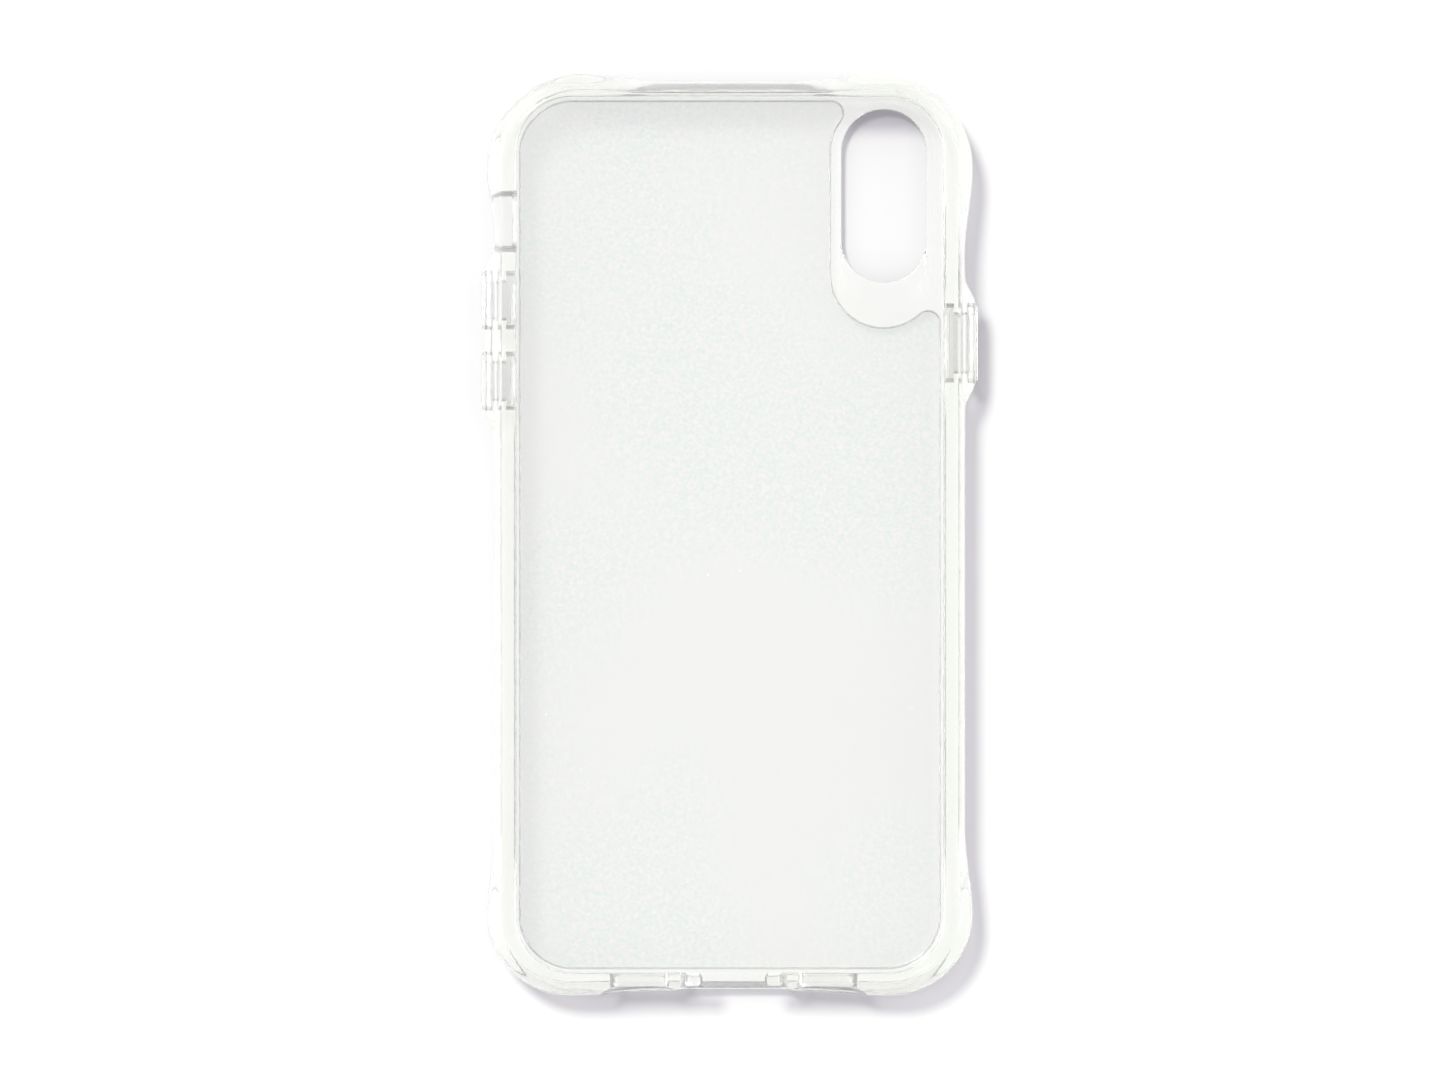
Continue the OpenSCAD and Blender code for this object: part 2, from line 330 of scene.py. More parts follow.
def skin_point(station, z, turn):
    x, y, nx, ny, swell = station
    out = swell * (1 - edge_calm * turn) - turn * (side_edge * nx * nx + end_edge * ny * ny)
    if ny == 0:
        rise = island_rise(1 if nx > 0 else -1, y, z)
        if rise > no_island:
            out = (out + rise + sqrt((out - rise) ** 2 + island_fillet**2)) / 2
    return (x + nx * out, y + ny * out, z)


def skin_heights(rows=26):
    """Heights from the back to the lip's outer edge, closer together where the skin turns in."""
    return [skin_h * (1 - cos(pi * k / rows)) / 2 for k in range(rows + 1)]


def lip_row(share):
    """A row on the lip's top, from its outer edge at 0 to its ridge at 1."""
    row = []
    for station in stations:
        x, y, nx, ny, swell = station
        side = side_edge + (side_ridge - side_edge) * share
        end = end_edge + (end_ridge - end_edge) * share
        out = swell * (1 - edge_calm) - side * nx * nx - end * ny * ny
        z = skin_h + ridge_drop * sin(share * pi / 2)
        row.append((x + nx * out, y + ny * out, z))
    return row


skin_rows = [
    [skin_point(s, z, abs(2 * z / skin_h - 1) ** skin_power) for s in stations] for z in skin_heights()
]
skin_rows += [lip_row(share) for share in (0.08, 0.3, 0.65, 1)]
bumper = loft("bumper", skin_rows)
print("bumper blank", len(bumper.data.polygons), "faces")

# %% [markdown]
# ## The pocket, the panel's seat and the camera surround
# The pocket's wall follows the phone's rounded side and comes in again under the lip. Below it the
# panel sits in a window whose groove holds the panel's thin rim, as it does when a soft
# material is moulded round a hard one. The window leaves the corner round the camera solid, so the
# surround is part of the bumper. The real joint is bonded and has no air in it, but two closed meshes
# need a hair's gap, and its reflections would show as a band as wide as the rim. So the rim is
# narrower here than the real one.

# %% The pocket
lip_reach = 0.72 * MM
lip_z = case_h - 1.3 * MM
cove = 0.25 * MM
ledge_z = floor_z + cove


def pocket_row(z, inset):
    return level(
        rounded_outline(pocket_x - inset, pocket_y - inset * end_share, pocket_r - inset, 20), z
    )


pocket_wall = [
    (ledge_z, 0.85 * MM),
    (ledge_z + 0.06 * MM, 0.6 * MM),
    (ledge_z + 0.25 * MM, 0.34 * MM),
    (ledge_z + 0.6 * MM, 0.14 * MM),
    (ledge_z + 1.1 * MM, 0.03 * MM),
    (ledge_z + 1.7 * MM, 0),
    (lip_z - 1.6 * MM, 0),
    (lip_z - 1.1 * MM, 0.08 * MM),
    (lip_z - 0.6 * MM, 0.28 * MM),
    (lip_z - 0.2 * MM, 0.54 * MM),
    (lip_z + 0.05 * MM, 0.68 * MM),
    (lip_z + 0.3 * MM, lip_reach),
    (case_h - 0.42 * MM, lip_reach),
    (case_h - 0.27 * MM, lip_reach - 0.05 * MM),
    (case_h - 0.14 * MM, lip_reach - 0.17 * MM),
    (case_h - 0.06 * MM, lip_reach - 0.36 * MM),
    (case_h - 0.02 * MM, lip_reach - 0.65 * MM),
    (case_h + 0.3 * MM, -0.8 * MM),
]
pocket = loft("pocket", [pocket_row(z, inset) for z, inset in pocket_wall])
print("pocket", round(2 * pocket_x / MM, 2), "x", round(2 * pocket_y / MM, 2), "mm")

# %% The outline of the panel, with its bay for the camera surround
camera_x = 25.3 * MM
camera_r = 7.0 * MM
camera_top = pocket_y - 2.0 * MM - camera_r
camera_bottom = camera_top - 14.4 * MM
ramp_bottom = camera_bottom - 5.7 * MM
surround_r = camera_r + 1.8 * MM
bay_corner_r = 2.0 * MM
panel_x = pocket_x - panel_inset
panel_y = pocket_y - panel_inset * end_share
panel_r = pocket_r - panel_inset


def panel_outline(grow, steps=18):
    """The panel's edge, grown outwards, anticlockwise from the corner at the port end."""
    near_side = panel_x - bay_corner_r - camera_x
    near_end = panel_y - bay_corner_r - camera_top
    reach = surround_r + bay_corner_r
    side_corner = (panel_x - bay_corner_r, ramp_bottom - sqrt(reach**2 - near_side**2))
    end_corner = (camera_x - sqrt(reach**2 - near_end**2), panel_y - bay_corner_r)
    to_side = atan2(ramp_bottom - side_corner[1], camera_x - side_corner[0]) * 180 / pi
    to_end = atan2(end_corner[1] - camera_top, end_corner[0] - camera_x) * 180 / pi
    cx, cy = panel_x - panel_r, panel_y - panel_r
    points = arc((cx, -cy), panel_r + grow, -90, 0, steps)
    points += arc(side_corner, bay_corner_r + grow, 0, to_side, steps)
    points += arc((camera_x, ramp_bottom), surround_r - grow, to_side - 180, -180, 2 * steps)
    points += arc((camera_x, camera_top), surround_r - grow, 180, to_end, steps)
    points += arc(end_corner, bay_corner_r + grow, to_end - 180, 90, steps)
    points += arc((-cx, cy), panel_r + grow, 90, 180, steps)
    points += arc((-cx, -cy), panel_r + grow, 180, 270, steps)
    return points


# %% The window that the panel sits in
joint_gap = 0.02 * MM
bonded_rim = 0.12 * MM
groove_low = recess + (floor_z - recess - tongue_t) / 2 - joint_gap
groove_high = groove_low + tongue_t + 2 * joint_gap
window_rows = [
    (-1.0 * MM, 1.12 * MM),
    (0, 0.12 * MM),
    (0.12 * MM, joint_gap),
    (groove_low, joint_gap),
    (groove_low, bonded_rim + joint_gap),
    (groove_high, bonded_rim + joint_gap),
    (groove_high, joint_gap),
    (ledge_z + 0.3 * MM, joint_gap),
]
window = loft("window", [level(panel_outline(grow), z) for z, grow in window_rows])

# %% The camera opening: a low bevel that becomes a ramp, a near-vertical wall and a fillet
bevel_w = 1.1 * MM
bevel_top = floor_z - 0.6 * MM


def camera_row(z, radius, bottom):
    outline = arc((camera_x, camera_top), radius, 0, 180, 28)
    outline += arc((camera_x, bottom), radius, 180, 360, 28)
    return level(outline, z)


camera_rows = [
    camera_row(-0.6 * MM, camera_r + bevel_w + 0.6 * MM, ramp_bottom),
    camera_row(0, camera_r + bevel_w + 0.14 * MM, ramp_bottom),
    camera_row(0.06 * MM, camera_r + bevel_w + 0.03 * MM, ramp_bottom),
    camera_row(0.16 * MM, camera_r + bevel_w - 0.08 * MM, ramp_bottom + 0.3 * MM),
    camera_row(0.7 * MM, camera_r + 0.12 * MM, camera_bottom - 3.0 * MM),
    camera_row(0.8 * MM, camera_r + 0.06 * MM, camera_bottom - 2.5 * MM),
    camera_row(bevel_top - 0.1 * MM, camera_r + 0.02 * MM, camera_bottom - 0.3 * MM),
    camera_row(bevel_top + 0.05 * MM, camera_r, camera_bottom),
    camera_row(ledge_z - 0.25 * MM, camera_r, camera_bottom),
    camera_row(ledge_z - 0.08 * MM, camera_r + 0.05 * MM, camera_bottom),
    camera_row(ledge_z, camera_r + 0.2 * MM, camera_bottom),
    camera_row(ledge_z + 0.4 * MM, camera_r + 0.9 * MM, camera_bottom),
]
camera_cut = loft("camera_cut", camera_rows)
print("camera opening", round(2 * camera_r / MM, 1), "mm wide")
print("panel", round(2 * panel_x / MM, 1), "mm wide")

# %% [markdown]
# ## Openings in the walls
# The port window is wide, and the lip is interrupted over its middle so that a plug's body has room.
# A sound opening lies on each side of it, behind a post. On the long side a slot leaves the
# mute switch free. Each cutter opens out a little where it leaves the wall, which rounds the
# rim of the hole.

# %% Port window, sound openings and mute-switch opening
port_x = 0.6 * MM
port_half = 8.7 * MM
port_gap_half = 5.1 * MM
port_half_h = 3.0 * MM
port_corner = 2.0 * MM
gap_corner = 0.9 * MM
post_w = 1.8 * MM
sound_l = 9.8 * MM
sound_h = 3.4 * MM
rim = 0.35 * MM


def port_outline(wider, taller, steps=8):
    """The port window, wider all round and taller upwards, with the gap that goes on through the lip."""
    top = case_h - middle_z + 1 * MM
    reach_u, reach_v = port_half - port_corner, port_half_h - port_corner
    lower = min(wider, 0.2 * MM)
    right = arc((reach_u + wider - lower, -reach_v), port_corner + lower, -90, 0, steps)
    right += arc((reach_u, reach_v + taller - wider), port_corner + wider, 0, 90, steps)
    turn_in = max(gap_corner, wider + 0.05 * MM)
    inner = (port_gap_half + turn_in, port_half_h + taller + turn_in - wider)
    right += arc(inner, turn_in - wider, -90, -180, steps)
    right += [(port_gap_half + wider, top)]
    return right + [(-u, v) for u, v in reversed(right)]


def sound_outline(longer, taller):
    """A sound opening whose mouth is longer both ways and taller upwards."""
    outline = slot_outline(sound_l / 2 + longer, sound_h / 2 + taller / 2)
    return [(u, v + taller / 2) for u, v in outline]


def through_wall(name, outline, rows, place):
    """A cutter through a wall: one row for each (depth, *outline sizes), set in place by a function."""
    return loft(name, [place(outline(*sizes), depth) for depth, *sizes in rows])


outside = -waist_bottom
inside = -pocket_y
inner_rim = [
    (inside - rim, 0, 0),
    (inside - 0.1 * MM, rim * 0.25, rim * 0.25),
    (inside, rim * 0.6, rim * 0.6),
    (inside + 1.5 * MM, rim + 0.3 * MM, rim + 0.3 * MM),
]
mouth = [
    (-0.6 * MM, 1.4 * MM, 1.9 * MM),
    (0.3 * MM, 1.1 * MM, 1.6 * MM),
    (0.8 * MM, 0.85 * MM, 1.4 * MM),
    (1.15 * MM, 0.6 * MM, 1.2 * MM),
    (1.4 * MM, 0.3 * MM, 0.5 * MM),
    (1.7 * MM, 0.06 * MM, 0.08 * MM),
    (2.0 * MM, 0, 0),
]
sound_extra = 1.35 * MM
port_rows = [(outside + depth, wider, taller) for depth, wider, taller in mouth] + inner_rim
sound_rows = [
    (outside + depth, wider * 1.2, taller + sound_extra * min(1, taller / MM))
    for depth, wider, taller in mouth
] + inner_rim
cutters = [through_wall("port", port_outline, port_rows, lambda o, d: facing_y(o, port_x, d, middle_z))]
for side in (-1, 1):
    sound_x = port_x + side * (port_half + post_w + sound_l / 2)
    cutters.append(through_wall(
        "sound", sound_outline, sound_rows, lambda o, d: facing_y(o, sound_x, d, middle_z)
    ))

# %% The mute-switch opening
switch_y = 51.3 * MM
switch_l = 10.2 * MM
switch_h = 4.6 * MM
switch_depths = [
    (-waist_x - 3.0 * MM, 1.6 * MM),
    (-waist_x - 0.55 * MM, 0.45 * MM),
    (-waist_x - 0.1 * MM, 0.16 * MM),
    (-waist_x + 0.4 * MM, 0),
    (-pocket_x - 0.2 * MM, 0),
    (-pocket_x, 0.12 * MM),
    (-pocket_x + 1.0 * MM, 0.6 * MM),
]
cutters.append(through_wall(
    "switch",
    lambda grow: slot_outline(switch_l / 2 + grow, switch_h / 2 + grow),
    switch_depths,
    lambda o, d: facing_x(o, d, switch_y, middle_z),
))

# %% The wells that the buttons run in
travel = 0.35 * MM
running_gap = 0.12 * MM
cap_t = 1.75 * MM
flange_t = 0.5 * MM
stem_inset = 1.5 * MM
stem_h = 1.8 * MM
flange_inset = 0.5 * MM
relief_x = pocket_x + 0.85 * MM
well_x = button_x - cap_t - travel - 0.1 * MM


def well(name, side, low, high):
    """Cuts one button's well, the slot for its stem and the relief on the pocket's side."""
    half_l, half_h = (high.y - low.y) / 2, (high.z - low.z) / 2
    stem_l, stem_r = half_l - stem_inset + running_gap, stem_h / 2 + running_gap
    rows = [
        (pocket_x - 1.0 * MM, half_l + running_gap + 0.3 * MM, half_h + running_gap + 0.3 * MM),
        (pocket_x, half_l + running_gap + 0.08 * MM, half_h + running_gap + 0.08 * MM),
        (pocket_x + 0.1 * MM, half_l + running_gap, half_h + running_gap),
        (relief_x, half_l + running_gap, half_h + running_gap),
        (relief_x, stem_l, stem_r),
        (well_x, stem_l, stem_r),
        (well_x, half_l + running_gap, half_h + running_gap),
        (island_x - 0.16 * MM, half_l + running_gap, half_h + running_gap),
        (island_x - 0.04 * MM, half_l + running_gap + 0.05 * MM, half_h + running_gap + 0.05 * MM),
        (island_x + 0.01 * MM, half_l + running_gap + 0.16 * MM, half_h + running_gap + 0.16 * MM),
        (island_x + 0.6 * MM, half_l + running_gap + 0.9 * MM, half_h + running_gap + 0.9 * MM),
    ]
    y = (low.y + high.y) / 2
    return loft(name, [facing_x(slot_outline(l, r), side * x, y, middle_z) for x, l, r in rows])


for name, (low, high) in button_boxes.items():
    cutters.append(well(name + "_well", 1 if high.x > 0 else -1, low, high))

print(len(cutters), "cutters through the walls")
carve(bumper, [pocket, window, camera_cut] + cutters)
smooth_shaded(bumper)

# %% [markdown]
# ## The back panel
# One clear plate. Its inner face is a very shallow dish whose rim rises to meet the soft material,
# and its outer edge is eased, so that the joint line catches the light.

# %% The panel
panel_rows = [
    (recess, -0.08 * MM),
    (recess + 0.02 * MM, -0.03 * MM),
    (recess + 0.08 * MM, 0),
    (groove_low + joint_gap, 0),
    (groove_low + joint_gap, bonded_rim),
    (groove_high - joint_gap, bonded_rim),
    (groove_high - joint_gap, 0),
    (ledge_z - 0.06 * MM, 0),
    (ledge_z - 0.01 * MM, -0.05 * MM),
    (ledge_z - 0.02 * MM, -0.15 * MM),
    (ledge_z - 0.10 * MM, -0.5 * MM),
    (ledge_z - 0.19 * MM, -1.0 * MM),
    (floor_z + 0.01 * MM, -1.5 * MM),
    (floor_z, -1.9 * MM),
]
panel = loft("panel", [level(panel_outline(grow), z) for z, grow in panel_rows])
smooth_shaded(panel, 40)

# %% [markdown]
# ## Effects that the plastics share
# Nothing clear is ever perfectly clean. A mould leaves a fine satin grain, hands leave patches that
# are a little duller, and thick or handled plastic is not quite the same tint all over.
# The three plastics need the same effects with other numbers, so each effect is a node group with named
# inputs. Painting textures would also work, but noise in object space needs no seams or images.

# %% A helper for effect groups
def effect_group(name, numbers, colours, outputs):
    """A shader node group with a Vector input, numbers, colours and outputs, all by name."""
    tree = bpy.data.node_groups.new(name, "ShaderNodeTree")
    tree.interface.new_socket("Vector", in_out="INPUT", socket_type="NodeSocketVector")
    for label, value in numbers.items():
        socket = tree.interface.new_socket(label, in_out="INPUT", socket_type="NodeSocketFloat")
        socket.default_value = value
    for label, value in colours.items():
        socket = tree.interface.new_socket(label, in_out="INPUT", socket_type="NodeSocketColor")
        socket.default_value = (*value, 1)
    for label, kind in outputs.items():
        tree.interface.new_socket(label, in_out="OUTPUT", socket_type=kind)
    return tree, tree.nodes.new("NodeGroupInput"), tree.nodes.new("NodeGroupOutput")


def noise_node(tree, vector, detail=2.0, rough=0.5):
    node = tree.nodes.new("ShaderNodeTexNoise")
    node.inputs["Detail"].default_value = detail
    node.inputs["Roughness"].default_value = rough
    tree.links.new(vector, node.inputs["Vector"])
    return node


def math_node(tree, operation, a, b):
    node = tree.nodes.new("ShaderNodeMath")
    node.operation = operation
    for socket, value in zip(node.inputs, (a, b)):
        if isinstance(value, (int, float)):
            socket.default_value = value
        else:
            tree.links.new(value, socket)
    return node.outputs["Value"]


def range_node(tree, value, low, high, to_low, to_high):
    node = tree.nodes.new("ShaderNodeMapRange")
    node.interpolation_type = "SMOOTHSTEP"
    for label, item in zip(("Value", "From Min", "From Max", "To Min", "To Max"),
                           (value, low, high, to_low, to_high)):
        if isinstance(item, (int, float)):
            node.inputs[label].default_value = item
        else:
            tree.links.new(item, node.inputs[label])
    return node.outputs["Result"]


# %% Moulded grain: a fine satin texture with a slow ripple under it
grain_tree, ins, outs = effect_group(
    "Moulded grain",
    {"Grain Scale": 2500.0, "Ripple Scale": 90.0, "Ripple Share": 0.5},
    {},
    {"Height": "NodeSocketFloat"},
)
fine = noise_node(grain_tree, ins.outputs["Vector"], detail=2)
grain_tree.links.new(ins.outputs["Grain Scale"], fine.inputs["Scale"])
slow = noise_node(grain_tree, ins.outputs["Vector"], detail=1)
grain_tree.links.new(ins.outputs["Ripple Scale"], slow.inputs["Scale"])
ripple = math_node(grain_tree, "MULTIPLY", slow.outputs["Fac"], ins.outputs["Ripple Share"])
grain_tree.links.new(math_node(grain_tree, "ADD", fine.outputs["Fac"], ripple), outs.inputs["Height"])

# %% Handling wear: duller patches and a few fine specks of dust
wear_tree, ins, outs = effect_group(
    "Handling wear",
    {"Patch Scale": 40.0, "Clean": 0.05, "Handled": 0.12, "Speck Scale": 160.0, "Speck Rough": 0.3},
    {},
    {"Roughness": "NodeSocketFloat"},
)
patches = noise_node(wear_tree, ins.outputs["Vector"], detail=5, rough=0.6)
wear_tree.links.new(ins.outputs["Patch Scale"], patches.inputs["Scale"])
clean, handled = ins.outputs["Clean"], ins.outputs["Handled"]
dull = range_node(wear_tree, patches.outputs["Fac"], 0.35, 0.68, clean, handled)
specks = wear_tree.nodes.new("ShaderNodeTexVoronoi")
wear_tree.links.new(ins.outputs["Vector"], specks.inputs["Vector"])
wear_tree.links.new(ins.outputs["Speck Scale"], specks.inputs["Scale"])
dust = range_node(wear_tree, specks.outputs["Distance"], 0.015, 0.035, 1.0, 0.0)
dusty = math_node(wear_tree, "MULTIPLY", dust, ins.outputs["Speck Rough"])
wear_tree.links.new(math_node(wear_tree, "ADD", dull, dusty), outs.inputs["Roughness"])

# %% Cloudy tint: two near-white tints that drift into each other, flecked where the first one rules
tint_tree, ins, outs = effect_group(
    "Cloudy tint",
    {"Cloud Scale": 14.0, "Fleck Scale": 1800.0, "Fleck Share": 0.3},
    {"Tint A": (1, 1, 1), "Tint B": (0.98, 0.98, 0.98)},
    {"Color": "NodeSocketColor"},
)
cloud = noise_node(tint_tree, ins.outputs["Vector"], detail=2)
tint_tree.links.new(ins.outputs["Cloud Scale"], cloud.inputs["Scale"])
fleck = noise_node(tint_tree, ins.outputs["Vector"], detail=1)
tint_tree.links.new(ins.outputs["Fleck Scale"], fleck.inputs["Scale"])
drift = range_node(tint_tree, cloud.outputs["Fac"], 0.4, 0.6, 0.0, 1.0)
flecked = math_node(tint_tree, "SUBTRACT", fleck.outputs["Fac"], 0.5)
flecked = math_node(tint_tree, "MULTIPLY", flecked, ins.outputs["Fleck Share"])
flecked = math_node(tint_tree, "MULTIPLY", flecked, math_node(tint_tree, "SUBTRACT", 1.2, drift))
mix = tint_tree.nodes.new("ShaderNodeMix")
mix.data_type = "RGBA"
mix.clamp_factor = False
tint_tree.links.new(math_node(tint_tree, "ADD", drift, flecked), mix.inputs["Factor"])
tint_tree.links.new(ins.outputs["Tint A"], mix.inputs["A"])
tint_tree.links.new(ins.outputs["Tint B"], mix.inputs["B"])
tint_tree.links.new(mix.outputs["Result"], outs.inputs["Color"])
print("effect groups:", [g.name for g in bpy.data.node_groups])

# %% [markdown]
# ## Clear plastics
# Each plastic is a glass shader whose tint, dullness and grain come from the groups above. The soft
# one keeps a little milkiness, as flexible plastic does, and takes on a warm tint where it is thick.
# Real light is gathered under a clear thing, and tracing that takes very long, so for lamp light and
# bounced light each plastic turns into a tinted see-through surface instead, darker where it is
# grazed. The floor below is then lit, and thick edges still throw a soft shadow.

# %% A clear plastic
def place_group(material, tree, numbers=None, colours=None):
    node = material.node_tree.nodes.new("ShaderNodeGroup")
    node.node_tree = tree
    for label, value in (numbers or {}).items():
        node.inputs[label].default_value = value
    for label, value in (colours or {}).items():
        node.inputs[label].default_value = (*value, 1)
    return node


def clear_plastic(name, clearness, grain, wear, tint, bump_mm, lamp_tint, absorption=None):
    material = bpy.data.materials.new(name)
    material.use_nodes = True
    nodes, links = material.node_tree.nodes, material.node_tree.links
    nodes.clear()
    coords = nodes.new("ShaderNodeTexCoord").outputs["Object"]
    grain_node = place_group(material, grain_tree, grain)
    wear_node = place_group(material, wear_tree, wear)
    tint_node = place_group(material, tint_tree, *tint)
    for node in (grain_node, wear_node, tint_node):
        links.new(coords, node.inputs["Vector"])

    glass = nodes.new("ShaderNodeBsdfPrincipled")
    glass.inputs["Transmission Weight"].default_value = clearness
    glass.inputs["IOR"].default_value = 1.49
    bump = nodes.new("ShaderNodeBump")
    bump.inputs["Strength"].default_value = 0.5
    bump.inputs["Distance"].default_value = bump_mm * MM
    links.new(grain_node.outputs["Height"], bump.inputs["Height"])
    links.new(tint_node.outputs["Color"], glass.inputs["Base Color"])
    links.new(wear_node.outputs["Roughness"], glass.inputs["Roughness"])
    links.new(bump.outputs["Normal"], glass.inputs["Normal"])

    see_through = nodes.new("ShaderNodeBsdfTransparent")
    facing = nodes.new("ShaderNodeLayerWeight")
    facing.inputs["Blend"].default_value = 0.42
    grazed = nodes.new("ShaderNodeMix")
    grazed.data_type = "RGBA"
    grazed.inputs["A"].default_value = (*lamp_tint[0], 1)
    grazed.inputs["B"].default_value = (*lamp_tint[1], 1)
    links.new(facing.outputs["Facing"], grazed.inputs["Factor"])
    links.new(grazed.outputs["Result"], see_through.inputs["Color"])

    path = nodes.new("ShaderNodeLightPath")
    lamp_light = math_node(
        material.node_tree, "MAXIMUM", path.outputs["Is Shadow Ray"], path.outputs["Is Diffuse Ray"]
    )
    choice = nodes.new("ShaderNodeMixShader")
    links.new(lamp_light, choice.inputs["Fac"])
    links.new(glass.outputs["BSDF"], choice.inputs[1])
    links.new(see_through.outputs["BSDF"], choice.inputs[2])
    out = nodes.new("ShaderNodeOutputMaterial")
    links.new(choice.outputs["Shader"], out.inputs["Surface"])
    if absorption:
        inside = nodes.new("ShaderNodeVolumeAbsorption")
        inside.inputs["Color"].default_value = (*absorption[0], 1)
        inside.inputs["Density"].default_value = absorption[1]
        links.new(inside.outputs["Volume"], out.inputs["Volume"])
    return material


# %% The three plastics
flexible_grain = {"Grain Scale": 900.0, "Ripple Scale": 120.0, "Ripple Share": 1.5}
flexible_lamp_tint = ((0.76, 0.75, 0.775), (0.25, 0.23, 0.29))
flexible_absorption = ((0.75, 0.82, 0.5), 9)
soft_clear = clear_plastic(
    "soft clear bumper",
    clearness=0.86,
    grain=flexible_grain,
    wear={"Patch Scale": 45.0, "Clean": 0.03, "Handled": 0.08},
    tint=({"Cloud Scale": 30.0}, {"Tint A": (1, 1, 1), "Tint B": (0.985, 0.99, 0.97)}),
    bump_mm=0.01,
    lamp_tint=flexible_lamp_tint,
    absorption=flexible_absorption,
)
hard_clear = clear_plastic(
    "hard clear panel",
    clearness=0.93,
    grain={"Grain Scale": 3200.0, "Ripple Scale": 60.0, "Ripple Share": 0.4},
    wear={"Patch Scale": 30.0, "Clean": 0.1, "Handled": 0.2},
    tint=(
        {"Cloud Scale": 16.0, "Fleck Scale": 1700.0, "Fleck Share": 18.0},
        {"Tint A": (0.845, 0.857, 0.852), "Tint B": (0.862, 0.861, 0.858)},
    ),
    bump_mm=0.008,
    lamp_tint=((0.97, 0.975, 0.97), (0.88, 0.88, 0.88)),
)
button_clear = clear_plastic(
    "clear button",
    clearness=0.88,
    grain=flexible_grain,
    wear={"Patch Scale": 90.0, "Clean": 0.03, "Handled": 0.08},
    tint=({"Cloud Scale": 60.0}, {"Tint A": (1, 1, 1), "Tint B": (0.98, 0.99, 0.975)}),
    bump_mm=0.01,
    lamp_tint=flexible_lamp_tint,
    absorption=flexible_absorption,
)

bumper.data.materials.append(soft_clear)
panel.data.materials.append(hard_clear)
print("plastics:", soft_clear.name, hard_clear.name, button_clear.name)

# %% [markdown]
# ## The buttons
# A button is one solid that passes through the wall: a flange on the pocket side that keeps it in, a
# narrow stem, and the cap that the finger presses, with rounded edges and a slightly crowned face.
# There are three of them in two lengths, and they follow one rule: the same section runs round a slot
# of any length. So the section is a handful of points, and a Geometry Nodes tree runs it round.

# %% A tree that runs a section round a slot
def node_chain(tree):
    """Short ways to add nodes to a geometry tree."""
    def add(kind, **settings):
        node = tree.nodes.new(kind)
        for label, value in settings.items():
            setattr(node, label, value)
        return node

    def calc(operation, a, b=0.0):
        return math_node(tree, operation, a, b)

    return add, calc


def slot_sweep_tree():
    """Each point of the object's own mesh is one ring: (place along X, inset in length, in height)."""
    tree = bpy.data.node_groups.new("Section round a slot", "GeometryNodeTree")
    sockets = {"Geometry": "NodeSocketGeometry"}
    sockets.update({label: "NodeSocketFloat" for label in (
        "Half Length", "Half Height", "Side", "Middle Y", "Middle Z")})
    sockets.update({"Stations": "NodeSocketInt", "Material": "NodeSocketMaterial"})
    for label, kind in sockets.items():
        tree.interface.new_socket(label, in_out="INPUT", socket_type=kind)
    tree.interface.new_socket("Geometry", in_out="OUTPUT", socket_type="NodeSocketGeometry")
    add, calc = node_chain(tree)
    link = tree.links.new
    given = add("NodeGroupInput").outputs

    rings = add("GeometryNodeAttributeDomainSize", component="MESH")
    link(given["Geometry"], rings.inputs["Geometry"])
    ring_count = rings.outputs["Point Count"]
    grid = add("GeometryNodeMeshGrid")
    link(calc("ADD", given["Stations"], 1), grid.inputs["Vertices X"])
    link(ring_count, grid.inputs["Vertices Y"])

    index = add("GeometryNodeInputIndex").outputs["Index"]
    ring = calc("MODULO", index, ring_count)
    station = calc("FLOOR", calc("DIVIDE", calc("ADD", index, 0.5), ring_count))
    section = add("GeometryNodeSampleIndex", data_type="FLOAT_VECTOR", domain="POINT")
    link(given["Geometry"], section.inputs["Geometry"])
    link(add("GeometryNodeInputPosition").outputs["Position"], section.inputs["Value"])
    link(ring, section.inputs["Index"])
    parts = add("ShaderNodeSeparateXYZ")
    link(section.outputs["Value"], parts.inputs["Vector"])

    angle = calc("MULTIPLY", calc("DIVIDE", calc("ADD", station, 0.5), given["Stations"]), 2 * pi)
    radius = calc("SUBTRACT", given["Half Height"], parts.outputs["Z"])
    reach = calc("SUBTRACT", calc("SUBTRACT", given["Half Length"], parts.outputs["Y"]), radius)
    across = calc("COSINE", angle)
    along = calc("ADD", calc("MULTIPLY", calc("SIGN", across), reach), calc("MULTIPLY", across, radius))
    place = add("ShaderNodeCombineXYZ")
    link(calc("MULTIPLY", parts.outputs["X"], given["Side"]), place.inputs["X"])
    link(calc("ADD", along, given["Middle Y"]), place.inputs["Y"])
    upwards = calc("MULTIPLY", calc("SINE", angle), radius)
    link(calc("ADD", upwards, given["Middle Z"]), place.inputs["Z"])

    moved = add("GeometryNodeSetPosition")
    link(grid.outputs["Mesh"], moved.inputs["Geometry"])
    link(place.outputs["Vector"], moved.inputs["Position"])
    merged = add("GeometryNodeMergeByDistance")
    merged.inputs["Distance"].default_value = 0.001 * MM
    link(moved.outputs["Geometry"], merged.inputs["Geometry"])
    real = add("GeometryNodeRealizeInstances")
    link(merged.outputs["Geometry"], real.inputs["Geometry"])
    finish = add("GeometryNodeSetMaterial")
    link(real.outputs["Geometry"], finish.inputs["Geometry"])
    link(given["Material"], finish.inputs["Material"])
    link(finish.outputs["Geometry"], add("NodeGroupOutput").inputs["Geometry"])
    return tree


slot_sweep = slot_sweep_tree()
print("tree:", slot_sweep.name, len(slot_sweep.nodes), "nodes")

